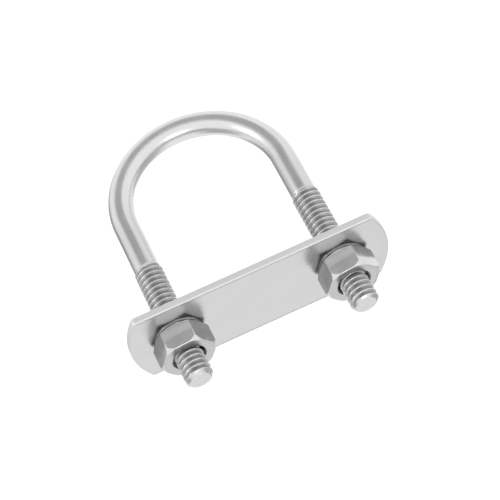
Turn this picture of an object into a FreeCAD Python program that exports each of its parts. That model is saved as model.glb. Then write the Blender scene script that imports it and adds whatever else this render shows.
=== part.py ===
import FreeCAD, Part
import math
import os

# U-bolt anchor with a retaining plate and two hex nuts, in millimetres.
#
# Frame: the plate's clamp face, the one the bend looks at, lies in y = 0 with its centre at
# the origin. +X runs along the plate towards the right leg, +Y runs along the legs towards
# the bend and +Z along the plate's short side, up as the fitting lies on a bench.

# ---- u_bolt: one bent rod -------------------------------------------------------------
ROD_DIA = 5.54            # plain rod, the blank that a 1/4-20 thread is rolled on
INSIDE_WIDTH = 32.0       # clear width between the legs
INSIDE_HEIGHT = 45.0      # clamp face to the inside of the crown
LEG_BELOW = 13.7          # clamp face to the end of each leg
TIP_BEVEL = 0.23          # flat end of each leg to the thread root, radial
TIP_LENGTH = 0.4          # taper from the flat end to the first thread

# ---- thread, 1/4-20 UNC, drawn as a ring per pitch --------------------------------------
PITCH = 1.27
THREAD_MAJOR_DIA = 6.2    # over the rolled crests
THREAD_DEPTH = 0.67
CREST_FLAT = 0.25
FLANK_SLOPE = math.tan(math.radians(30.0))
THREAD_TOP = {"left": 16.9, "right": 18.4}    # where each thread ends above the clamp face
CREST_HEIGHT = {"left": 11.5, "right": 11.1}  # one crest of each leg, above the clamp face

# ---- plate ----------------------------------------------------------------------------
PLATE_LENGTH = 59.0       # over the two bowed ends
PLATE_WIDTH = 21.2
PLATE_THICKNESS = 1.6
PLATE_END_RADIUS = 21.2
PLATE_EDGE_ROUND = 0.25
HOLE_CLEARANCE = 0.45     # all round the thread

# ---- nuts -----------------------------------------------------------------------------
NUT_ACROSS_FLATS = 11.11
NUT_HEIGHT = 6.0
WASHER_FACE_DIA = 10.4    # raised bearing ring on the side that seats on the plate
WASHER_FACE_HEIGHT = 0.4
BACK_CHAMFER_ANGLE = 30.0
FRONT_FACE_DIA = 11.5     # circle where the outer face meets the corner chamfer
FRONT_CHAMFER_ANGLE = 55.0
THREAD_GAP = 0.1          # leg crest to the nut's bore, which stands for its thread
COUNTERSINK_FRONT = 0.6   # radial, beyond the bore, on the outer face
COUNTERSINK_BACK = 0.4    # and on the bearing side
COUNTERSINK_DEPTH = 0.5
NUT_TURN = {"left": 5.0, "right": 9.0}        # degrees, as tightened

# ---- worked out -----------------------------------------------------------------------
CUT_BEYOND = 1.0          # how far a cutter reaches past the surface it cuts
ROD_R = ROD_DIA / 2
LEG_X = INSIDE_WIDTH / 2 + ROD_R
BEND_Y = INSIDE_HEIGHT - INSIDE_WIDTH / 2
CREST_R = THREAD_MAJOR_DIA / 2
ROOT_R = CREST_R - THREAD_DEPTH
NUT_BORE_R = CREST_R + THREAD_GAP
NUT_CORNER_R = NUT_ACROSS_FLATS / 2 / math.cos(math.pi / 6)
SIDE = {"left": -1, "right": 1}

V = FreeCAD.Vector
X_AXIS = V(1, 0, 0)
Y_AXIS = V(0, 1, 0)
Z_AXIS = V(0, 0, 1)


def revolved(points):
    """Solid of revolution about Z from (radius, height) points."""
    loop = [V(r, 0, z) for r, z in points]
    face = Part.Face(Part.makePolygon(loop + loop[:1]))
    return face.revolve(V(0, 0, 0), Z_AXIS, 360)


def stand_along_leg(shape, side, base_y):
    """Turn a shape built along +Z so that it points along +Y on one leg's axis."""
    placed = shape.copy()
    placed.rotate(V(0, 0, 0), X_AXIS, -90)
    placed.translate(V(SIDE[side] * LEG_X, base_y, 0))
    return placed


def crest_heights(side):
    """Middle of every thread crest on a leg, lowest first, as heights above the clamp face."""
    room = CREST_FLAT / 2 + THREAD_DEPTH * FLANK_SLOPE
    lowest = -LEG_BELOW + TIP_LENGTH + room
    highest = THREAD_TOP[side] - room
    first = math.ceil((lowest - CREST_HEIGHT[side]) / PITCH)
    last = math.floor((highest - CREST_HEIGHT[side]) / PITCH)
    return [CREST_HEIGHT[side] + k * PITCH for k in range(first, last + 1)]


def thread_points(side):
    """Outline of a leg's thread as (radius, height) points: two flanks and a flat per crest."""
    points = []
    for y in crest_heights(side):
        flat = CREST_FLAT / 2
        foot = flat + THREAD_DEPTH * FLANK_SLOPE
        points += [(ROOT_R, y - foot), (CREST_R, y - flat), (CREST_R, y + flat), (ROOT_R, y + foot)]
    return points


def make_leg(side):
    """Straight leg from its bevelled tip, through its thread, to the start of the bend."""
    outline = [(0, -LEG_BELOW), (ROOT_R - TIP_BEVEL, -LEG_BELOW), (ROOT_R, -LEG_BELOW + TIP_LENGTH)]
    outline += thread_points(side)
    outline += [(ROD_R, THREAD_TOP[side]), (ROD_R, BEND_Y), (0, BEND_Y)]
    return stand_along_leg(revolved(outline), side, 0)


def make_u_bolt():
    """Half-round bend and two threaded legs in one solid."""
    bend = Part.makeTorus(LEG_X, ROD_R, V(0, BEND_Y, 0), Z_AXIS, 0, 360, 180)
    return bend.fuse([make_leg(side) for side in SIDE])


def plate_outline():
    """Closed edge loop of the plate: two straight sides and two bowed ends."""
    half_width = PLATE_WIDTH / 2
    tip_x = PLATE_LENGTH / 2
    bow = PLATE_END_RADIUS - math.sqrt(PLATE_END_RADIUS ** 2 - half_width ** 2)
    corner_x = tip_x - bow
    corners = [V(x, 0, z) for x, z in (
        (-corner_x, half_width), (corner_x, half_width),
        (corner_x, -half_width), (-corner_x, -half_width),
    )]
    right_end = Part.Arc(corners[1], V(tip_x, 0, 0), corners[2]).toShape()
    left_end = Part.Arc(corners[3], V(-tip_x, 0, 0), corners[0]).toShape()
    top = Part.LineSegment(corners[0], corners[1]).toShape()
    bottom = Part.LineSegment(corners[2], corners[3]).toShape()
    return Part.Wire([top, right_end, bottom, left_end])


def make_plate():
    """Flat bar with bowed ends, rounded outer edges and a clearance hole for each leg."""
    plate = Part.Face(plate_outline()).extrude(V(0, -PLATE_THICKNESS, 0))
    edges = [e for e in plate.Edges if abs(e.BoundBox.YLength) < PLATE_EDGE_ROUND]
    plate = plate.makeFillet(PLATE_EDGE_ROUND, edges)
    hole_r = CREST_R + HOLE_CLEARANCE
    for side in SIDE:
        start = V(SIDE[side] * LEG_X, CUT_BEYOND, 0)
        depth = PLATE_THICKNESS + 2 * CUT_BEYOND
        plate = plate.cut(Part.makeCylinder(hole_r, depth, start, -Y_AXIS))
    return plate


def nut_envelope():
    """Turned outline of a nut: washer face, back chamfer, corner chamfer and outer face."""
    outer_r = NUT_CORNER_R + CUT_BEYOND
    washer_r = WASHER_FACE_DIA / 2
    face_r = FRONT_FACE_DIA / 2
    back_rise = (outer_r - washer_r) * math.tan(math.radians(BACK_CHAMFER_ANGLE))
    front_rise = (outer_r - face_r) * math.tan(math.radians(FRONT_CHAMFER_ANGLE))
    return revolved([
        (0, 0),
        (washer_r, 0),
        (washer_r, WASHER_FACE_HEIGHT),
        (outer_r, WASHER_FACE_HEIGHT + back_rise),
        (outer_r, NUT_HEIGHT - front_rise),
        (face_r, NUT_HEIGHT),
        (0, NUT_HEIGHT),
    ])


def hexagon(turn):
    """Hexagonal prism as tall as a nut, with a corner at the turn angle."""
    corners = []
    for k in range(6):
        angle = math.radians(turn + 60 * k)
        corners.append(V(NUT_CORNER_R * math.cos(angle), NUT_CORNER_R * math.sin(angle), 0))
    return Part.Face(Part.makePolygon(corners + corners[:1])).extrude(V(0, 0, NUT_HEIGHT))


def nut_bore():
    """Bore and both countersinks."""
    back_r = NUT_BORE_R + COUNTERSINK_BACK
    front_r = NUT_BORE_R + COUNTERSINK_FRONT
    return revolved([
        (0, 0),
        (back_r, 0),
        (NUT_BORE_R, COUNTERSINK_DEPTH),
        (NUT_BORE_R, NUT_HEIGHT - COUNTERSINK_DEPTH),
        (front_r, NUT_HEIGHT),
        (0, NUT_HEIGHT),
    ])


def make_nut(side):
    """Hex nut seated on the plate."""
    nut = hexagon(NUT_TURN[side]).common(nut_envelope()).cut(nut_bore())
    nut.rotate(V(0, 0, 0), X_AXIS, 90)
    nut.translate(V(SIDE[side] * LEG_X, -PLATE_THICKNESS, 0))
    return nut


def single_solid(name, shape):
    """The one solid that a node must be."""
    solids = shape.removeSplitter().Solids
    if len(solids) != 1 or not solids[0].isValid():
        raise ValueError(name + " is not one sound solid")
    return solids[0]


def main():
    nodes = {
        "u_bolt": make_u_bolt(),
        "plate": make_plate(),
        "left_nut": make_nut("left"),
        "right_nut": make_nut("right"),
    }
    os.makedirs("parts", exist_ok=True)
    for name, shape in nodes.items():
        solid = single_solid(name, shape)
        solid.exportStep("parts/" + name + ".step")
        box = solid.BoundBox
        print(name, "volume %.1f mm3" % solid.Volume,
              "x %.2f..%.2f y %.2f..%.2f z %.2f..%.2f" % (
                  box.XMin, box.XMax, box.YMin, box.YMax, box.ZMin, box.ZMax))


main()
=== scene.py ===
"""U-bolt anchor: a bent rod with threaded legs, a bowed plate and two hex nuts, with their stage."""

import math

import bmesh
import bpy
from bpy.props import FloatProperty, FloatVectorProperty, IntProperty, PointerProperty
from mathutils import Matrix, Vector


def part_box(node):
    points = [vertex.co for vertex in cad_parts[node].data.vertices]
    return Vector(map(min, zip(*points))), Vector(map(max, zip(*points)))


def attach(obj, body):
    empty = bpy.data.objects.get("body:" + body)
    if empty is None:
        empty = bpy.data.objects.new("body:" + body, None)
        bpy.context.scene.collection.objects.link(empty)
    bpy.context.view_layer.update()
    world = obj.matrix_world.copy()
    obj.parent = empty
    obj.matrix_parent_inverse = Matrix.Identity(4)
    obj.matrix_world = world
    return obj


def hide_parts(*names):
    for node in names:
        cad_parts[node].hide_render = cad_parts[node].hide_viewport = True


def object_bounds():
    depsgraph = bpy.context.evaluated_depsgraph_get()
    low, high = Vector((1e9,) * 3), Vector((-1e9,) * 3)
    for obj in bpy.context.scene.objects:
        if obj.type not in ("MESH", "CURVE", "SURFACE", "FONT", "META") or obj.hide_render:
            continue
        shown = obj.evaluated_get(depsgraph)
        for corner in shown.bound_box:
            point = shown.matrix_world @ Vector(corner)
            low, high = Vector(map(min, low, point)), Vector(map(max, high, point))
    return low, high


bl_info = {
    "name": "U-bolt anchor",
    "version": (1, 0, 0),
    "blender": (4, 5, 0),
    "location": "View3D > Sidebar > U-bolt",
    "description": "Models and finishes a threaded U-bolt, its plate and its hex nuts",
    "category": "Object",
}

MM = 0.001
CLOSE = 1e-6              # two places in metres that count as one
CUT_BEYOND = 0.5 * MM     # how far a cutter reaches past the surface it cuts
BORE_STEPS = 96           # steps round a bore or hole
ENVELOPE_STEPS = 144      # steps round a nut's turned outline

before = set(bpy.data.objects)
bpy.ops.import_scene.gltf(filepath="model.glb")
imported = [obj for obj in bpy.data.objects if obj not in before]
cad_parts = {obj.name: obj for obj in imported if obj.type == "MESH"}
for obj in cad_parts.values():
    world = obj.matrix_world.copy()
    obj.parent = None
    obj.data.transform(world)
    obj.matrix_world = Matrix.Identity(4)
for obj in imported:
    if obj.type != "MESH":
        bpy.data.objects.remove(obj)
CAD_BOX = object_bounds()
BOLT_LOW, BOLT_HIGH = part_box("u_bolt")
PLATE_LOW, PLATE_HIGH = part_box("plate")
NUT_BOXES = {side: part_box(side + "_nut") for side in ("left", "right")}
LEG_X = {side: (low.x + high.x) / 2 for side, (low, high) in NUT_BOXES.items()}
SIDES = ("left", "right")


def length(name, description, default):
    """A length property in metres."""
    return FloatProperty(name=name, description=description, default=default, min=0.0,
                         precision=5, subtype="DISTANCE", unit="LENGTH")


def angle(name, description, degrees):
    """An angle property, shown in degrees."""
    return FloatProperty(name=name, description=description, default=math.radians(degrees),
                         subtype="ANGLE", unit="ROTATION")


def tint(name, description, default):
    """A colour property."""
    return FloatVectorProperty(name=name, description=description, default=default, size=3,
                               min=0.0, max=1.0, subtype="COLOR")


def share(name, description, default):
    """A value from 0 to 1."""
    return FloatProperty(name=name, description=description, default=default, min=0.0, max=1.0,
                         subtype="FACTOR")


class RodSizes(bpy.types.PropertyGroup):
    """Sizes of the bent rod and its threads."""
    rod_radius: length("Rod radius", "Plain part of the rod", 2.77 * MM)
    pitch: length("Pitch", "Height of one turn of the thread", 1.27 * MM)
    crest_radius: length("Crest radius", "Over the thread's crests", BOLT_HIGH.z)
    thread_depth: length("Thread depth", "Crest to root", 0.67 * MM)
    left_thread_top: length("Left thread top", "Where the left thread ends", 16.9 * MM)
    right_thread_top: length("Right thread top", "Where the right thread ends", 18.4 * MM)
    left_crest: length("Left crest", "A crest on the left leg's right side", 11.5 * MM)
    right_crest: length("Right crest", "A crest on the right leg's right side", 11.1 * MM)
    run_out: length("Run-out", "Length over which a thread fades into the rod", 1.5 * MM)
    tip_radius: length("Tip radius", "Flat end of each leg", 2.15 * MM)
    tip_round: length("Tip rounding", "Taper behind the flat end", 0.75 * MM)
    steps: IntProperty(name="Steps", description="Steps in each turn of a thread",
                       default=56, min=12, max=96)


class PlateSizes(bpy.types.PropertyGroup):
    """Sizes of the plate."""
    end_radius: length("End radius", "Bow of the two ends", 21.2 * MM)
    outer_round: length("Outer rounding", "Edge on the nut side", 0.34 * MM)
    inner_round: length("Inner rounding", "Edge on the bend side", 0.2 * MM)
    corner_round: length("Corner rounding", "The four corners", 0.7 * MM)
    hole_radius: length("Hole radius", "Clearance hole for each leg", 3.55 * MM)
    hole_bevel: length("Hole bevel", "Broken edge of each hole", 0.15 * MM)


class NutSizes(bpy.types.PropertyGroup):
    """Sizes of the hex nuts."""
    across_flats: length("Across flats", "Width of the hexagon", 11.11 * MM)
    washer_radius: length("Washer face radius", "Raised bearing ring", 5.2 * MM)
    washer_height: length("Washer face height", "Height of the bearing ring", 0.4 * MM)
    face_radius: length("Front face radius", "Where the corner chamfer starts", 5.75 * MM)
    bore_radius: length("Bore radius", "Inside the threads", 3.2 * MM)
    front_sink: length("Front countersink", "Radial, on the outer face", 0.6 * MM)
    back_sink: length("Back countersink", "Radial, on the bearing side", 0.4 * MM)
    sink_depth: length("Countersink depth", "Along the bore", 0.5 * MM)
    edge_round: length("Edge rounding", "Softened edges", 0.09 * MM)
    corner_round: length("Corner rounding", "The six upright edges", 0.16 * MM)
    back_angle: angle("Back chamfer", "Slope behind the washer face", 30.0)
    front_angle: angle("Front chamfer", "Slope of the corner chamfer", 55.0)
    left_turn: angle("Left turn", "How far round the left nut sits", 5.0)
    right_turn: angle("Right turn", "How far round the right nut sits", 9.0)


class Finish(bpy.types.PropertyGroup):
    """Colours and polish."""
    rod_tint: tint("Rod", "Drawn and bent steel rod", (0.62, 0.62, 0.62))
    plate_tint: tint("Plate", "Tumbled steel plate", (0.60, 0.60, 0.596))
    nut_tint: tint("Nuts", "Machined steel nuts", (0.64, 0.64, 0.64))
    # Painted shade: a dark colour laid into the thread's root, where shade falls.
    groove_shade_tint: tint("Grooves", "Root of the thread", (0.25, 0.25, 0.25))
    floor_tint: tint("Floor", "Pale studio floor", (0.56, 0.56, 0.56))
    rod_roughness: share("Rod roughness", "Blur of the rod's reflections", 0.23)
    plate_roughness: share("Plate roughness", "Blur of the plate's reflections", 0.27)
    nut_roughness: share("Nut roughness", "Blur of the nuts' reflections", 0.17)


class UBoltSettings(bpy.types.PropertyGroup):
    """Everything that the panel shows."""
    rod: PointerProperty(type=RodSizes)
    plate: PointerProperty(type=PlateSizes)
    nut: PointerProperty(type=NutSizes)
    finish: PointerProperty(type=Finish)


# ---- modelling helpers ----------------------------------------------------------------

def deselect():
    """Leave edit mode with nothing selected."""
    if bpy.context.object and bpy.context.object.mode != "OBJECT":
        bpy.ops.object.mode_set(mode="OBJECT")
    bpy.ops.object.select_all(action="DESELECT")


def pick(*objects):
    """Select these objects alone; the first one is active."""
    deselect()
    for obj in objects:
        obj.select_set(True)
    bpy.context.view_layer.objects.active = objects[0]
    return objects[0]


def new_object(name):
    """Name the object that a primitive operator has just added."""
    obj = bpy.context.object
    obj.name = name
    obj.data.name = name
    return obj


def mark(obj, kind, test):
    """In edit mode, select only the vertices, edges or faces that pass the test."""
    bpy.ops.mesh.select_mode(type={"verts": "VERT", "edges": "EDGE", "faces": "FACE"}[kind])
    bpy.ops.mesh.select_all(action="DESELECT")
    mesh = bmesh.from_edit_mesh(obj.data)
    for element in getattr(mesh, kind):
        if test(element):
            element.select_set(True)
    mesh.select_flush_mode()
    bmesh.update_edit_mesh(obj.data)


def edit(obj):
    """Open one object in edit mode."""
    pick(obj)
    bpy.ops.object.mode_set(mode="EDIT")


def leave():
    """Go back to object mode."""
    bpy.ops.object.mode_set(mode="OBJECT")


def settle(obj):
    """Put the object's place into its mesh."""
    pick(obj)
    bpy.ops.object.transform_apply(location=True, rotation=True, scale=True)
    return obj


def finish_modifier(obj, kind, name, **settings):
    """Add a modifier, set it and apply it."""
    pick(obj)
    modifier = obj.modifiers.new(name, kind)
    for key, value in settings.items():
        setattr(modifier, key, value)
    bpy.ops.object.modifier_apply(modifier=modifier.name)
    return obj


def clean(obj, gap=1e-7):
    """Merge doubled vertices and turn every face outwards."""
    edit(obj)
    bpy.ops.mesh.select_all(action="SELECT")
    bpy.ops.mesh.remove_doubles(threshold=gap)
    bpy.ops.mesh.select_all(action="SELECT")
    bpy.ops.mesh.normals_make_consistent(inside=False)
    leave()
    return obj


def draw_outline(name, points):
    """Chain of vertices in the XZ plane, pulled out one after another from a single point."""
    deselect()
    bpy.ops.mesh.primitive_plane_add(size=MM, location=(0, 0, 0))
    obj = new_object(name)
    edit(obj)
    bpy.ops.mesh.select_mode(type="VERT")
    bpy.ops.mesh.select_all(action="SELECT")
    bpy.ops.mesh.merge(type="CENTER")
    bpy.ops.transform.translate(value=(points[0][0], 0, points[0][1]))
    for (r, z), (next_r, next_z) in zip(points, points[1:]):
        bpy.ops.mesh.extrude_vertices_move(
            TRANSFORM_OT_translate={"value": (next_r - r, 0, next_z - z)})
    leave()
    return obj


def turn_on_lathe(name, points, steps):
    """Closed solid turned about Z from an outline of (radius, height) points."""
    obj = draw_outline(name, points)
    finish_modifier(obj, "SCREW", "lathe", angle=2 * math.pi, steps=steps, render_steps=steps,
                    use_merge_vertices=True, merge_threshold=1e-7)
    return clean(obj)


def cut_with(obj, tool, operation):
    """Boolean with a tool, which is used up."""
    finish_modifier(obj, "BOOLEAN", "cut", object=tool, operation=operation, solver="EXACT")
    bpy.data.objects.remove(tool)
    return clean(obj)


def hand_over(obj, node, body, material):
    """Finish a piece: material, body, CAD node and slot."""
    obj.data.materials.clear()
    obj.data.materials.append(material)
    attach(obj, body)
    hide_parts(node)


# ---- rod and threads ------------------------------------------------------------------

# One turn of a rolled thread, as (share of the pitch, share of the depth): the crest has a
# shallow seam where the rolled metal met, the flanks are straight and the root is round.
THREAD_SHAPE = (
    (0.0, 0.045), (0.03, 0.03), (0.055, 0.0), (0.09, 0.015), (0.12, 0.075), (0.15, 0.18),
    (0.20, 0.36), (0.30, 0.72), (0.35, 0.88), (0.39, 0.96), (0.43, 0.99), (0.5, 1.0),
)


def thread_outline(sizes):
    """Outline of one turn, crest to crest, as (radius, height) points."""
    rising = list(THREAD_SHAPE)
    falling = [(1 - t, depth) for t, depth in reversed(THREAD_SHAPE[:-1])]
    return [(sizes.crest_radius - sizes.thread_depth * depth, sizes.pitch * t)
            for t, depth in rising + falling]


def ease(t):
    """Smooth step from 0 to 1."""
    t = min(max(t, 0.0), 1.0)
    return t * t * (3 - 2 * t)


def tip_limit(sizes, depth):
    """Largest radius allowed at a depth behind a leg's flat end: a round leading to a bevel."""
    share_in = min(depth / sizes.tip_round, 1.0)
    round_part = math.sqrt(max(0.0, 1 - (1 - share_in) ** 2))
    return sizes.tip_radius + (sizes.crest_radius - sizes.tip_radius) * (
        0.45 * round_part + 0.55 * share_in)


def shape_leg_ends(obj, sizes, leg_x, low_y, top_y):
    """Fade the thread into the rod at its top and round it off at the leg's end."""
    for vertex in obj.data.vertices:
        from_axis = Vector((vertex.co.x - leg_x, 0, vertex.co.z))
        radius = from_axis.length
        fade = ease((vertex.co.y - top_y + sizes.run_out) / sizes.run_out)
        target = radius + (sizes.rod_radius - radius) * fade
        target = min(target, tip_limit(sizes, vertex.co.y - low_y))
        if radius > 0:
            from_axis *= target / radius
        vertex.co.x = leg_x + from_axis.x
        vertex.co.z = from_axis.z


def threaded_leg(sizes, side):
    """Threaded end of a leg, open at its top, in place."""
    leg_x, low_y = LEG_X[side], BOLT_LOW.y
    top_y = getattr(sizes, side + "_thread_top")
    crest_y = getattr(sizes, side + "_crest")
    turns_below = math.ceil((crest_y - low_y) / sizes.pitch) + 1
    start_y = crest_y - turns_below * sizes.pitch
    turns = math.ceil((top_y - start_y) / sizes.pitch) + 1
    obj = draw_outline(side + "_thread", thread_outline(sizes))
    finish_modifier(obj, "SCREW", "thread", angle=2 * math.pi, screw_offset=sizes.pitch,
                    iterations=turns, steps=sizes.steps, render_steps=sizes.steps)
    obj.rotation_euler.x = -math.pi / 2
    obj.location = (leg_x, start_y, 0)
    settle(obj)
    clean(obj, gap=CLOSE)
    edit(obj)
    for height, direction in ((low_y, -1), (top_y, 1)):
        bpy.ops.mesh.select_all(action="SELECT")
        bpy.ops.mesh.bisect(plane_co=(0, height, 0), plane_no=(0, direction, 0), clear_outer=True,
                            threshold=1e-7)
    leave()
    shape_leg_ends(obj, sizes, leg_x, low_y, top_y)
    edit(obj)
    mark(obj, "edges", lambda e: e.is_boundary and all(abs(v.co.y - low_y) < CLOSE for v in e.verts))
    bpy.ops.mesh.edge_face_add()
    bpy.ops.mesh.inset(thickness=0.5 * MM)
    leave()
    return obj


def bent_rod(sizes, gap):
    """Plain shanks and half-round bend as an open tube that stops just above each thread."""
    leg_x = LEG_X["right"]
    bend_y = BOLT_HIGH.y - leg_x - sizes.rod_radius
    deselect()
    bpy.ops.mesh.primitive_circle_add(
        vertices=64, radius=sizes.rod_radius, rotation=(math.pi / 2, 0, 0),
        location=(-leg_x, sizes.left_thread_top + gap, 0))
    rod = settle(new_object("u_bolt_rod"))
    edit(rod)
    bpy.ops.mesh.select_all(action="SELECT")
    rise = bend_y - sizes.left_thread_top - gap
    bpy.ops.mesh.extrude_region_move(TRANSFORM_OT_translate={"value": (0, rise, 0)})
    bpy.ops.mesh.spin(steps=72, angle=math.pi, center=(0, bend_y, 0), axis=(0, 0, 1))
    drop = sizes.right_thread_top + gap - bend_y
    bpy.ops.mesh.extrude_region_move(TRANSFORM_OT_translate={"value": (0, drop, 0)})
    leave()
    return rod


def join_to_rod(rod, legs, sizes, gap):
    """Make one closed mesh of the tube and the two threaded legs."""
    pick(rod, *legs)
    bpy.ops.object.join()
    edit(rod)
    for side in SIDES:
        top_y, leg_x = getattr(sizes, side + "_thread_top"), LEG_X[side]
        mark(rod, "edges", lambda e: e.is_boundary and all(
            abs(v.co.x - leg_x) < 2 * sizes.crest_radius
            and top_y - 1e-5 < v.co.y < top_y + gap + 1e-5 for v in e.verts))
        bpy.ops.mesh.bridge_edge_loops()
    leave()
    return clean(rod, gap=CLOSE)


class UBOLT_OT_make_rod(bpy.types.Operator):
    """Model the bent rod with its two threaded legs"""
    bl_idname = "ubolt.make_rod"
    bl_label = "Make U-bolt"

    def execute(self, context):
        sizes = context.scene.ubolt.rod
        gap = 0.4 * MM
        legs = [threaded_leg(sizes, side) for side in SIDES]
        rod = join_to_rod(bent_rod(sizes, gap), legs, sizes, gap)
        require_closed(rod)
        pick(rod)
        bpy.ops.object.shade_smooth_by_angle(angle=math.radians(38))
        hand_over(rod, "u_bolt", "u_bolt", rod_steel(context.scene.ubolt))
        return {"FINISHED"}


# ---- plate ----------------------------------------------------------------------------

def bow_ends(obj, sizes):
    """Move the two end edges' vertices on to their arcs."""
    reach, half_width = PLATE_HIGH.x, PLATE_HIGH.z
    bow = sizes.end_radius - math.sqrt(sizes.end_radius ** 2 - half_width ** 2)
    for vertex in obj.data.vertices:
        at_z = math.sqrt(sizes.end_radius ** 2 - vertex.co.z ** 2)
        vertex.co.x = math.copysign(reach - sizes.end_radius + at_z, vertex.co.x)
    return reach - bow


def round_edges(obj, offset, segments, test):
    """Round the edges that pass the test."""
    edit(obj)
    mark(obj, "edges", test)
    bpy.ops.mesh.bevel(offset=offset, segments=segments, affect="EDGES", offset_type="OFFSET")
    leave()


def is_rim(edge, height):
    """True for an outer edge of the plate's face at this height."""
    return (all(abs(v.co.y - height) < CLOSE for v in edge.verts)
            and edge.calc_face_angle(0) > math.radians(50))


class UBOLT_OT_make_plate(bpy.types.Operator):
    """Model the flat bar with bowed ends and its two clearance holes"""
    bl_idname = "ubolt.make_plate"
    bl_label = "Make plate"

    def execute(self, context):
        sizes = context.scene.ubolt.plate
        width, thickness = PLATE_HIGH.z - PLATE_LOW.z, PLATE_HIGH.y - PLATE_LOW.y
        deselect()
        bpy.ops.mesh.primitive_plane_add(size=1, rotation=(math.pi / 2, 0, 0),
                                         location=(0, PLATE_HIGH.y, 0))
        plate = new_object("plate_bar")
        plate.scale = (PLATE_HIGH.x, width, 1)
        settle(plate)
        edit(plate)
        mark(plate, "edges", lambda e: abs(e.verts[0].co.x - e.verts[1].co.x) < CLOSE)
        bpy.ops.mesh.subdivide(number_cuts=47)
        leave()
        corner_x = bow_ends(plate, sizes)
        edit(plate)
        bpy.ops.mesh.select_all(action="SELECT")
        bpy.ops.mesh.extrude_region_move(TRANSFORM_OT_translate={"value": (0, -thickness, 0)})
        leave()
        clean(plate)
        round_edges(plate, sizes.corner_round, 4, lambda e: abs(
            e.verts[0].co.y - e.verts[1].co.y) > thickness / 2 and e.calc_face_angle(
            0) > math.radians(20) and abs(abs(e.verts[0].co.x) - corner_x) < 1e-5)
        round_edges(plate, sizes.outer_round, 4, lambda e: is_rim(e, PLATE_LOW.y))
        round_edges(plate, sizes.inner_round, 3, lambda e: is_rim(e, PLATE_HIGH.y))
        for side in SIDES:
            cut_with(plate, hole_cutter(sizes, side, thickness), "DIFFERENCE")
        require_closed(plate)
        pick(plate)
        bpy.ops.object.shade_smooth_by_angle(angle=math.radians(30))
        hand_over(plate, "plate", "plate", plate_steel(context.scene.ubolt))
        return {"FINISHED"}


def hole_cutter(sizes, side, thickness):
    """Turned tool for one clearance hole with broken edges."""
    r, b, over = sizes.hole_radius, sizes.hole_bevel, CUT_BEYOND
    tool = turn_on_lathe("hole_tool", [
        (0, -over), (r + b + over, -over), (r, b), (r, thickness - b),
        (r + b + over, thickness + over), (0, thickness + over)], BORE_STEPS)
    tool.rotation_euler.x = math.pi / 2
    tool.location = (LEG_X[side], PLATE_HIGH.y, 0)
    return settle(tool)


# ---- nuts -----------------------------------------------------------------------------

def nut_envelope(sizes, height):
    """Turned outline that a hex nut stays within."""
    outer = sizes.across_flats / 2 / math.cos(math.radians(30)) + MM
    back = sizes.washer_height + (outer - sizes.washer_radius) * math.tan(sizes.back_angle)
    front = height - (outer - sizes.face_radius) * math.tan(sizes.front_angle)
    return turn_on_lathe("nut_envelope", [
        (0, 0), (sizes.washer_radius, 0), (sizes.washer_radius, sizes.washer_height),
        (outer, back), (outer, front), (sizes.face_radius, height), (0, height)], ENVELOPE_STEPS)


def nut_bore(sizes, height):
    """Turned tool for the bore and both countersinks."""
    r, over = sizes.bore_radius, CUT_BEYOND
    front_run = sizes.front_sink * over / sizes.sink_depth
    back_run = sizes.back_sink * over / sizes.sink_depth
    return turn_on_lathe("nut_bore", [
        (0, -over), (r + sizes.back_sink + back_run, -over), (r, sizes.sink_depth),
        (r, height - sizes.sink_depth), (r + sizes.front_sink + front_run, height + over),
        (0, height + over)], BORE_STEPS)


def hex_nut(sizes, side):
    """Hex nut on its leg, bearing on the plate."""
    low, high = NUT_BOXES[side]
    height = high.y - low.y
    corner_r = sizes.across_flats / 2 / math.cos(math.radians(30))
    deselect()
    bpy.ops.mesh.primitive_cylinder_add(vertices=6, radius=corner_r, depth=height,
                                        location=(0, 0, height / 2))
    nut = new_object(side + "_hex_nut")
    first = nut.data.vertices[0].co
    turn = getattr(sizes, side + "_turn") - math.atan2(first.y, first.x)
    nut.rotation_euler.z = turn
    settle(nut)
    round_edges(nut, sizes.corner_round, 3, lambda e: abs(
        e.verts[0].co.z - e.verts[1].co.z) > height / 2)
    cut_with(nut, nut_envelope(sizes, height), "INTERSECT")
    cut_with(nut, nut_bore(sizes, height), "DIFFERENCE")
    finish_modifier(nut, "BEVEL", "soften", width=sizes.edge_round, segments=2,
                    limit_method="ANGLE", angle_limit=math.radians(24))
    nut.rotation_euler.x = math.pi / 2
    nut.location = (LEG_X[side], high.y, 0)
    return settle(nut)


class UBOLT_OT_make_nuts(bpy.types.Operator):
    """Model the two hex nuts"""
    bl_idname = "ubolt.make_nuts"
    bl_label = "Make nuts"

    def execute(self, context):
        settings = context.scene.ubolt
        for side in SIDES:
            nut = hex_nut(settings.nut, side)
            require_closed(nut)
            pick(nut)
            bpy.ops.object.shade_smooth_by_angle(angle=math.radians(30))
            hand_over(nut, side + "_nut", side + "_nut", nut_steel(settings, side))
        return {"FINISHED"}


def require_closed(obj):
    """Stop if a mesh has an open edge."""
    mesh = bmesh.new()
    mesh.from_mesh(obj.data)
    loose = sum(not edge.is_manifold for edge in mesh.edges)
    mesh.free()
    if loose:
        raise RuntimeError(f"{obj.name} has {loose} open edges")


# ---- material helpers -----------------------------------------------------------------

def add_node(tree, kind, x, y, **settings):
    """Add a node at a place in the editor and set its plain settings."""
    node = tree.nodes.new(kind)
    node.location = (x, y)
    for key, value in settings.items():
        setattr(node, key, value)
    return node


def wire(tree, *pairs):
    """Link (output, input) pairs."""
    for output, target in pairs:
        tree.links.new(output, target)


def maths(tree, x, y, operation, a, b=None):
    """A Math node on two values or outputs; gives its output."""
    node = add_node(tree, "ShaderNodeMath", x, y, operation=operation)
    for socket, value in zip(node.inputs, (a, b)):
        if value is None:
            continue
        if isinstance(value, (int, float)):
            socket.default_value = value
        else:
            tree.links.new(value, socket)
    return node.outputs[0]


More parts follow.
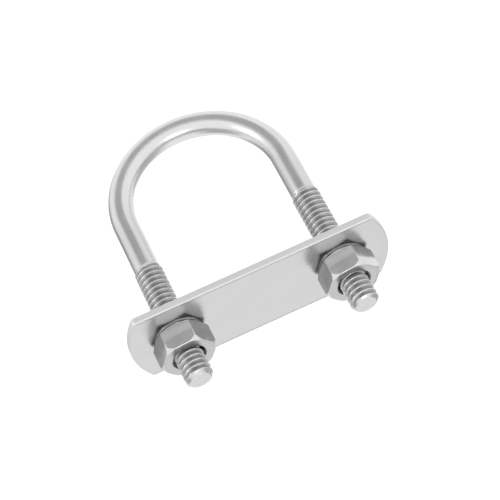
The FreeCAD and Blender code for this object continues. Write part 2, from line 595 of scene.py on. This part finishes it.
def ramp(tree, x, y, value, low, high, to_low, to_high):
    """A clamped Map Range node; gives its output."""
    node = add_node(tree, "ShaderNodeMapRange", x, y, clamp=True)
    node.inputs["From Min"].default_value = low
    node.inputs["From Max"].default_value = high
    node.inputs["To Min"].default_value = to_low
    node.inputs["To Max"].default_value = to_high
    tree.links.new(value, node.inputs["Value"])
    return node.outputs["Result"]


def noise(tree, x, y, vector, scale, detail=3.0, roughness=0.55):
    """A Noise Texture; gives its factor."""
    node = add_node(tree, "ShaderNodeTexNoise", x, y)
    node.inputs["Scale"].default_value = scale
    node.inputs["Detail"].default_value = detail
    node.inputs["Roughness"].default_value = roughness
    tree.links.new(vector, node.inputs["Vector"])
    return node.outputs["Fac"]


def mapped(tree, x, y, vector, location=(0, 0, 0), rotation=(0, 0, 0), scale=(1, 1, 1)):
    """A Mapping node; gives its vector."""
    node = add_node(tree, "ShaderNodeMapping", x, y)
    node.inputs["Location"].default_value = location
    node.inputs["Rotation"].default_value = rotation
    node.inputs["Scale"].default_value = scale
    tree.links.new(vector, node.inputs["Vector"])
    return node.outputs["Vector"]


def new_group(name, inputs, outputs):
    """An empty node group with named sockets: the tree, its input and its output."""
    tree = bpy.data.node_groups.new(name, "ShaderNodeTree")
    for socket, kind in inputs:
        tree.interface.new_socket(socket, in_out="INPUT", socket_type=kind)
    for socket, kind in outputs:
        tree.interface.new_socket(socket, in_out="OUTPUT", socket_type=kind)
    return (tree, add_node(tree, "NodeGroupInput", -900, 0), add_node(tree, "NodeGroupOutput", 900, 0))


def scratches_group():
    """Sparse fine scratches in three directions, as a mask."""
    name = "Fine scratches"
    if name in bpy.data.node_groups:
        return bpy.data.node_groups[name]
    tree, start, end = new_group(
        name, [("Vector", "NodeSocketVector"), ("Amount", "NodeSocketFloat")],
        [("Mask", "NodeSocketFloat")])
    total = None
    for i, (turn, stretch) in enumerate(((0.35, 26.0), (1.25, 18.0), (-0.75, 22.0))):
        turned = mapped(tree, -650, -260 * i, start.outputs["Vector"],
                        location=(3.1 * i, 1.7 * i, 0), rotation=(turn * 0.4, turn, turn * 0.7))
        drawn = mapped(tree, -450, -260 * i, turned, scale=(stretch / 8, 1 / stretch, stretch / 8))
        field = noise(tree, -250, -260 * i, drawn, 1.6, 2.0, 0.5)
        line = ramp(tree, -50, -260 * i, field, 0.66, 0.72, 0.0, 1.0)
        total = line if total is None else maths(tree, 250, -260 * i, "MAXIMUM", total, line)
    scaled = maths(tree, 600, 0, "MULTIPLY", total, start.outputs["Amount"])
    wire(tree, (scaled, end.inputs["Mask"]))
    return tree


def grain_group():
    """Fine even grain and slow cloudy variation, both about one half."""
    name = "Metal grain"
    if name in bpy.data.node_groups:
        return bpy.data.node_groups[name]
    tree, start, end = new_group(
        name, [("Vector", "NodeSocketVector")],
        [("Grain", "NodeSocketFloat"), ("Cloud", "NodeSocketFloat")])
    fine = noise(tree, -200, 150, start.outputs["Vector"], 7.0, 3.0, 0.6)
    cloud = noise(tree, -200, -150, start.outputs["Vector"], 0.22, 3.0, 0.5)
    wire(tree, (fine, end.inputs["Grain"]), (cloud, end.inputs["Cloud"]))
    return tree


def painted_edge_highlight_group():
    """Mask of painted edge highlights: where the surface turns sharply within a small radius."""
    name = "Edge wear"
    if name in bpy.data.node_groups:
        return bpy.data.node_groups[name]
    tree, start, end = new_group(
        name, [("Vector", "NodeSocketVector"), ("Amount", "NodeSocketFloat")],
        [("Mask", "NodeSocketFloat")])
    softened = add_node(tree, "ShaderNodeBevel", -650, 100, samples=8)
    softened.inputs["Radius"].default_value = 0.35 * MM
    plain = add_node(tree, "ShaderNodeNewGeometry", -650, -100)
    agree = add_node(tree, "ShaderNodeVectorMath", -450, 0, operation="DOT_PRODUCT")
    wire(tree, (softened.outputs["Normal"], agree.inputs[0]), (plain.outputs["Normal"], agree.inputs[1]))
    edge = ramp(tree, -250, 0, agree.outputs["Value"], 0.93, 0.99, 1.0, 0.0)
    broken = noise(tree, -450, -300, start.outputs["Vector"], 1.3, 3.0, 0.6)
    uneven = ramp(tree, -250, -300, broken, 0.35, 0.6, 0.45, 1.0)
    mask = maths(tree, 0, 0, "MULTIPLY", edge, uneven)
    mask = maths(tree, 200, 0, "MULTIPLY", mask, start.outputs["Amount"])
    wire(tree, (mask, end.inputs["Mask"]))
    return tree


def place_group(tree, x, y, group, vector, **values):
    """Put a shared group in a material."""
    node = add_node(tree, "ShaderNodeGroup", x, y, node_tree=group)
    tree.links.new(vector, node.inputs["Vector"])
    for key, value in values.items():
        node.inputs[key].default_value = value
    return node


def new_metal(name):
    """A metal material with an empty Principled BSDF and its coordinates in millimetres."""
    material = bpy.data.materials.new(name)
    material.use_nodes = True
    tree = material.node_tree
    shader = tree.nodes["Principled BSDF"]
    shader.location = (900, 0)
    tree.nodes["Material Output"].location = (1200, 0)
    shader.inputs["Metallic"].default_value = 1.0
    coordinates = add_node(tree, "ShaderNodeTexCoord", -1500, 0)
    in_mm = mapped(tree, -1300, 0, coordinates.outputs["Object"], scale=(1 / MM,) * 3)
    return material, tree, shader, in_mm


def mix_colour(tree, x, y, factor, first, second):
    """A colour mix; each colour is a tuple or an output."""
    node = add_node(tree, "ShaderNodeMix", x, y, data_type="RGBA")
    tree.links.new(factor, node.inputs["Factor"])
    sockets = [s for s in node.inputs if s.type == "RGBA"]
    for socket, colour in zip(sockets, (first, second)):
        if isinstance(colour, (tuple, list)) or hasattr(colour, "r"):
            socket.default_value = (*colour[:3], 1.0)
        else:
            tree.links.new(colour, socket)
    return [s for s in node.outputs if s.type == "RGBA"][0]


def bump(tree, x, y, height, distance, strength=1.0, normal=None):
    """A Bump node; distance in metres."""
    node = add_node(tree, "ShaderNodeBump", x, y)
    node.inputs["Strength"].default_value = strength
    node.inputs["Distance"].default_value = distance
    tree.links.new(height, node.inputs["Height"])
    if normal is not None:
        tree.links.new(normal, node.inputs["Normal"])
    return node.outputs["Normal"]


def shade(colour, factor):
    """A colour made lighter or darker."""
    return tuple(min(1.0, c * factor) for c in colour[:3])


def rod_steel(settings):
    """Drawn rod: streaks that follow the bend, painted shade in the thread grooves, a painted highlight over
    the bend, small knocks.
    """
    finish, sizes = settings.finish, settings.rod
    material, tree, shader, in_mm = new_metal("drawn_rod_steel")
    leg_x = LEG_X["right"] / MM
    bend_y = (BOLT_HIGH.y - LEG_X["right"] - sizes.rod_radius) / MM
    split = add_node(tree, "ShaderNodeSeparateXYZ", -1100, 0)
    wire(tree, (in_mm, split.inputs[0]))
    x, y, z = split.outputs
    above = maths(tree, -950, -120, "MAXIMUM", maths(tree, -1050, -120, "SUBTRACT", y, bend_y), 0.0)
    flat = add_node(tree, "ShaderNodeCombineXYZ", -800, -60)
    wire(tree, (x, flat.inputs[0]), (above, flat.inputs[1]))
    reach = add_node(tree, "ShaderNodeVectorMath", -650, -60, operation="LENGTH")
    wire(tree, (flat.outputs[0], reach.inputs[0]))
    across = reach.outputs["Value"]
    drawn = add_node(tree, "ShaderNodeCombineXYZ", -500, 0)
    slow = maths(tree, -650, 120, "MULTIPLY", y, 0.02)
    wire(tree, (across, drawn.inputs[0]), (slow, drawn.inputs[1]), (z, drawn.inputs[2]))
    streaks = noise(tree, -300, 100, drawn.outputs[0], 4.5, 4.0, 0.6)
    grain = place_group(tree, -300, -200, grain_group(), in_mm)
    marks = place_group(tree, -300, -400, scratches_group(), in_mm, Amount=0.7)
    from_leg = add_node(tree, "ShaderNodeCombineXYZ", -500, -600)
    wire(tree, (maths(tree, -650, -600, "SUBTRACT", across, leg_x), from_leg.inputs[0]),
         (z, from_leg.inputs[1]))
    radius = add_node(tree, "ShaderNodeVectorMath", -300, -600, operation="LENGTH")
    wire(tree, (from_leg.outputs[0], radius.inputs[0]))
    # Painted shade: the groove mask darkens the colour in the thread's root, and it also roughens it.
    root = (sizes.crest_radius - sizes.thread_depth) / MM
    groove = ramp(tree, -100, -600, radius.outputs["Value"], root, root + 0.32, 1.0, 0.0)
    on_thread = ramp(tree, -100, -800, y, BOLT_LOW.y / MM + 0.5, BOLT_LOW.y / MM + 0.9, 0.0, 1.0)
    groove = maths(tree, 50, -700, "MULTIPLY", groove, on_thread)
    base = mix_colour(tree, 100, 200, ramp(tree, -100, 200, streaks, 0.3, 0.7, 0.0, 1.0),
                      shade(finish.rod_tint, 0.9), shade(finish.rod_tint, 1.08))
    # Painted highlight: the colour grows lighter towards the crown of the bend.
    painted_bend_highlight = ramp(tree, 100, 400, y, bend_y - 4.0, bend_y + 10.0, 0.0, 0.5)
    base = mix_colour(tree, 200, 200, painted_bend_highlight, base, shade(finish.rod_tint, 1.25))
    base = mix_colour(tree, 300, 200, groove, base, tuple(finish.groove_shade_tint))
    wire(tree, (base, shader.inputs["Base Color"]))
    polish = finish.rod_roughness
    rough = ramp(tree, 100, -100, grain.outputs["Cloud"], 0.35, 0.65, polish - 0.04, polish + 0.07)
    rough = maths(tree, 300, -100, "ADD", rough, maths(
        tree, 100, -250, "MULTIPLY", marks.outputs["Mask"], 0.15))
    rough = maths(tree, 450, -100, "ADD", rough, maths(tree, 300, -250, "MULTIPLY", groove, 0.2))
    wire(tree, (rough, shader.inputs["Roughness"]))
    first = bump(tree, 500, -400, streaks, 0.006 * MM, 0.6)
    second = bump(tree, 700, -400, grain.outputs["Grain"], 0.002 * MM, 0.5, first)
    wire(tree, (second, shader.inputs["Normal"]))
    return material


def plate_steel(settings):
    """Tumbled bar: soft cloudy polish, small dents, fine scratches, and rougher cut edges whose colour is
    painted lighter as painted light.
    """
    finish = settings.finish
    material, tree, shader, in_mm = new_metal("tumbled_plate_steel")
    grain = place_group(tree, -500, 200, grain_group(), in_mm)
    marks = place_group(tree, -500, 0, scratches_group(), in_mm, Amount=1.0)
    wave = noise(tree, -500, -200, in_mm, 0.1, 1.0, 0.4)
    dents = add_node(tree, "ShaderNodeTexVoronoi", -500, -400)
    dents.inputs["Scale"].default_value = 0.16
    wire(tree, (in_mm, dents.inputs["Vector"]))
    pit = ramp(tree, -300, -400, dents.outputs["Distance"], 0.0, 0.07, 0.0, 1.0)
    direction = add_node(tree, "ShaderNodeSeparateXYZ", -300, -600)
    coordinates = tree.nodes["Texture Coordinate"]
    wire(tree, (coordinates.outputs["Normal"], direction.inputs[0]))
    cut_edge_painted_light = ramp(tree, 100, -600, maths(tree, -100, -600, "ABSOLUTE", direction.outputs[1]),
                    0.9, 0.995, 1.0, 0.0)
    base = mix_colour(tree, 100, 250, ramp(tree, -100, 250, grain.outputs["Cloud"], 0.3, 0.7, 0.0, 1.0),
                      shade(finish.plate_tint, 0.98), shade(finish.plate_tint, 1.03))
    base = mix_colour(tree, 300, 250, maths(tree, 100, 100, "MULTIPLY", marks.outputs["Mask"], 0.4),
                      base, shade(finish.plate_tint, 0.8))
    # Painted light: the cut edges' colour is made lighter; their extra roughness is the finish.
    base = mix_colour(tree, 450, 250, cut_edge_painted_light, base, shade(finish.plate_tint, 1.2))
    wire(tree, (base, shader.inputs["Base Color"]))
    polish = finish.plate_roughness
    rough = ramp(tree, 100, 0, grain.outputs["Cloud"], 0.3, 0.7, polish - 0.05, polish + 0.06)
    rough = maths(tree, 300, 0, "ADD", rough, maths(tree, 100, -150, "MULTIPLY", cut_edge_painted_light, 0.35))
    wire(tree, (rough, shader.inputs["Roughness"]))
    first = bump(tree, 300, -300, wave, 0.05 * MM, 0.5)
    second = bump(tree, 450, -300, pit, 0.02 * MM, 0.6, first)
    third = bump(tree, 600, -300, grain.outputs["Grain"], 0.003 * MM, 0.6, second)
    wire(tree, (third, shader.inputs["Normal"]))
    return material


def nut_steel(settings, side):
    """Machined nut: turning rings on the outer face, milled flats, painted highlights on the edges, painted
    shade on the bearing side and in the countersinks.
    """
    finish = settings.finish
    material, tree, shader, in_mm = new_metal(side + "_machined_nut_steel")
    centred = mapped(tree, -1100, 0, in_mm, location=(-LEG_X[side] / MM, 0, 0))
    grain = place_group(tree, -500, 200, grain_group(), centred)
    marks = place_group(tree, -500, 0, scratches_group(), centred, Amount=0.8)
    split = add_node(tree, "ShaderNodeSeparateXYZ", -900, -200)
    wire(tree, (centred, split.inputs[0]))
    flat = add_node(tree, "ShaderNodeCombineXYZ", -750, -200)
    wire(tree, (split.outputs[0], flat.inputs[0]), (split.outputs[2], flat.inputs[1]))
    radius = add_node(tree, "ShaderNodeVectorMath", -600, -200, operation="LENGTH")
    wire(tree, (flat.outputs[0], radius.inputs[0]))
    ring_at = add_node(tree, "ShaderNodeCombineXYZ", -450, -250)
    wire(tree, (radius.outputs["Value"], ring_at.inputs[0]))
    rings = noise(tree, -300, -250, ring_at.outputs[0], 6.0, 3.0, 0.7)
    direction = add_node(tree, "ShaderNodeSeparateXYZ", -300, -600)
    coordinates = tree.nodes["Texture Coordinate"]
    wire(tree, (coordinates.outputs["Normal"], direction.inputs[0]))
    facing = ramp(tree, 0, -600, maths(tree, -150, -600, "ABSOLUTE", direction.outputs[1]),
                  0.7, 0.95, 0.0, 1.0)
    turned = maths(tree, 100, -300, "MULTIPLY", rings, facing)
    base = mix_colour(tree, 100, 250, ramp(tree, -100, 250, grain.outputs["Cloud"], 0.3, 0.7, 0.0, 1.0),
                      shade(finish.nut_tint, 0.95), shade(finish.nut_tint, 1.06))
    edge_highlight = place_group(tree, 100, 450, painted_edge_highlight_group(), centred, Amount=0.85)
    ring_mask = ramp(tree, 100, -450, turned, 0.38, 0.62, 0.0, 1.0)
    face = mix_colour(tree, 200, 600, ring_mask, shade(finish.nut_tint, 0.92),
                      shade(finish.nut_tint, 0.66))
    base = mix_colour(tree, 300, 250, facing, base, face)
    # Painted shade: the bearing side and the countersunk bore are coloured near black, where shade falls.
    behind = ramp(tree, 0, -900, direction.outputs[1], 0.1, 0.3, 0.0, 1.0)
    countersink_shade = ramp(tree, 0, -1100, radius.outputs["Value"], 3.7, 3.95, 1.0, 0.0)
    painted_shade_mask = maths(tree, 200, -1000, "MAXIMUM", behind, countersink_shade)
    base = mix_colour(tree, 400, 250, painted_shade_mask, base, shade(finish.nut_tint, 0.15))
    # Painted highlight: sharp edges are coloured near white.
    base = mix_colour(tree, 500, 250, edge_highlight.outputs["Mask"], base, (0.97, 0.97, 0.97))
    wire(tree, (base, shader.inputs["Base Color"]))
    polish = finish.nut_roughness
    rough = ramp(tree, 100, 0, grain.outputs["Cloud"], 0.3, 0.7, polish - 0.04, polish + 0.06)
    rough = maths(tree, 300, 0, "ADD", rough, maths(tree, 100, -150, "MULTIPLY", turned, 0.2))
    rough = maths(tree, 450, 0, "ADD", rough, maths(
        tree, 300, -150, "MULTIPLY", marks.outputs["Mask"], 0.12))
    wire(tree, (rough, shader.inputs["Roughness"]))
    rounded = add_node(tree, "ShaderNodeBevel", 200, -600, samples=8)
    rounded.inputs["Radius"].default_value = 0.3 * MM
    first = bump(tree, 400, -350, turned, 0.03 * MM, 0.6, rounded.outputs["Normal"])
    second = bump(tree, 600, -350, grain.outputs["Grain"], 0.003 * MM, 0.6, first)
    wire(tree, (second, shader.inputs["Normal"]))
    return material


# ---- stage ----------------------------------------------------------------------------

CAMERA_AIM = Vector((2.70, 10.52, 0.0)) * MM
CAMERA_DISTANCE = 400.6 * MM
CAMERA_AZIMUTH = math.radians(-10.03)     # from straight in front of the nuts, towards -X
CAMERA_ELEVATION = math.radians(55.83)
CAMERA_ROLL = math.radians(-15.90)
CAMERA_LENS = 135.9                       # on a 36 mm sensor


def add_camera():
    """Long-lens camera above and in front of the nuts, rolled a little."""
    data = bpy.data.cameras.new("studio_camera")
    data.lens, data.sensor_width = CAMERA_LENS, 36.0
    data.clip_start, data.clip_end = 0.01, 20.0
    camera = bpy.data.objects.new("studio_camera", data)
    turned = Matrix.Rotation(CAMERA_AZIMUTH, 4, "Z") @ Matrix.Rotation(
        math.pi / 2 - CAMERA_ELEVATION, 4, "X") @ Matrix.Rotation(CAMERA_ROLL, 4, "Z")
    back_off = Matrix.Translation((0, 0, CAMERA_DISTANCE))
    camera.matrix_world = Matrix.Translation(CAMERA_AIM) @ turned @ back_off
    bpy.context.scene.collection.objects.link(camera)
    bpy.context.scene.camera = camera


def add_softbox(name, place, aim, width, height, power):
    """Rectangular area light turned towards a point."""
    data = bpy.data.lights.new(name, "AREA")
    data.shape, data.size, data.size_y, data.energy = "RECTANGLE", width, height, power
    light = bpy.data.objects.new(name, data)
    light.location = place
    light.rotation_euler = (Vector(aim) - Vector(place)).to_track_quat("-Z", "Y").to_euler()
    light.visible_diffuse = False
    bpy.context.scene.collection.objects.link(light)


# Softly darker parts of the surroundings: direction, cosines where each starts and is full, depth.
DARK_PARTS = (
    ((-0.08, 0.48, 0.87), 0.79, 0.93, 0.54),     # ceiling, a little behind the object
    ((-0.54, 0.54, -0.64), 0.84, 0.96, 0.60),    # low, left and behind
    ((0.68, -0.18, -0.71), 0.86, 0.97, 0.45),    # low, right
    ((0.74, -0.55, -0.38), 0.86, 0.97, 0.50),    # low, right and in front
    ((-0.70, -0.55, -0.45), 0.86, 0.97, 0.50),   # low, left and in front
)


def studio_world():
    """Bright surroundings with a few softly darker parts."""
    world = bpy.data.worlds.new("studio")
    world.use_nodes = True
    tree = world.node_tree
    back = tree.nodes["Background"]
    coordinates = add_node(tree, "ShaderNodeTexCoord", -1300, 0)
    darkness = None
    for i, (direction, start, full, depth) in enumerate(DARK_PARTS):
        dot = add_node(tree, "ShaderNodeVectorMath", -1050, -200 * i, operation="DOT_PRODUCT")
        dot.inputs[1].default_value = Vector(direction).normalized()
        wire(tree, (coordinates.outputs["Generated"], dot.inputs[0]))
        part = ramp(tree, -850, -200 * i, dot.outputs["Value"], start, full, 0.0, depth)
        darkness = part if darkness is None else maths(
            tree, -600, -200 * i, "MAXIMUM", darkness, part)
    colour = mix_colour(tree, -250, 0, darkness, (1.12, 1.12, 1.12), (0.0, 0.0, 0.0))
    wire(tree, (colour, back.inputs["Color"]))
    back.inputs["Strength"].default_value = 1.0
    bpy.context.scene.world = world


def floor_material(finish):
    """Pale matt floor with a faint mottle."""
    material = bpy.data.materials.new("studio_floor")
    material.use_nodes = True
    tree = material.node_tree
    shader = tree.nodes["Principled BSDF"]
    coordinates = add_node(tree, "ShaderNodeTexCoord", -900, 0)
    mottle = noise(tree, -600, 0, coordinates.outputs["Object"], 9.0)
    colour = mix_colour(tree, -300, 0, mottle, shade(finish.floor_tint, 0.99), shade(finish.floor_tint, 1.01))
    wire(tree, (colour, shader.inputs["Base Color"]), (colour, shader.inputs["Emission Color"]))
    shader.inputs["Emission Strength"].default_value = 1.16
    shader.inputs["Roughness"].default_value = 0.9
    shader.inputs["Specular IOR Level"].default_value = 0.1
    return material


class UBOLT_OT_set_stage(bpy.types.Operator):
    """Set up the floor, the lights and the camera"""
    bl_idname = "ubolt.set_stage"
    bl_label = "Set stage"

    def execute(self, context):
        deselect()
        bpy.ops.mesh.primitive_circle_add(vertices=96, radius=3.0, fill_type="NGON",
                                          location=(0, 0, CAD_BOX[0].z))
        floor = settle(new_object("studio_floor"))
        floor.data.materials.append(floor_material(context.scene.ubolt.finish))
        floor.visible_glossy = False
        studio_world()
        middle = Vector((0, 0.02, 0))
        add_softbox("left_softbox", middle + Vector((-0.52, 0.0, 0.30)), middle, 0.22, 0.2, 0.4)
        add_softbox("front_softbox", middle + Vector((0.06, -0.55, 0.24)), middle, 0.24, 0.16, 0.35)
        context.scene.view_settings.view_transform = "Standard"
        add_camera()
        return {"FINISHED"}


# ---- panel and registration -----------------------------------------------------------

class UBOLT_PT_panel(bpy.types.Panel):
    """Lists the pieces and their sizes"""
    bl_label = "U-bolt anchor"
    bl_idname = "UBOLT_PT_panel"
    bl_space_type = "VIEW_3D"
    bl_region_type = "UI"
    bl_category = "U-bolt"

    def draw(self, context):
        settings = context.scene.ubolt
        for group, operators in (
                (settings.rod, ("ubolt.make_rod",)), (settings.plate, ("ubolt.make_plate",)),
                (settings.nut, ("ubolt.make_nuts",)), (settings.finish, ("ubolt.set_stage",))):
            box = self.layout.box()
            for name in group.bl_rna.properties.keys():
                if name not in ("rna_type", "name"):
                    box.prop(group, name)
            for operator in operators:
                box.operator(operator)


CLASSES = (RodSizes, PlateSizes, NutSizes, Finish, UBoltSettings, UBOLT_OT_make_rod,
           UBOLT_OT_make_plate, UBOLT_OT_make_nuts, UBOLT_OT_set_stage, UBOLT_PT_panel)


def register():
    for cls in CLASSES:
        bpy.utils.register_class(cls)
    bpy.types.Scene.ubolt = PointerProperty(type=UBoltSettings)


def unregister():
    del bpy.types.Scene.ubolt
    for cls in reversed(CLASSES):
        bpy.utils.unregister_class(cls)


def main():
    register()
    bpy.ops.ubolt.make_rod()
    bpy.ops.ubolt.make_plate()
    bpy.ops.ubolt.make_nuts()
    bpy.ops.ubolt.set_stage()


if __name__ == "__main__":
    main()
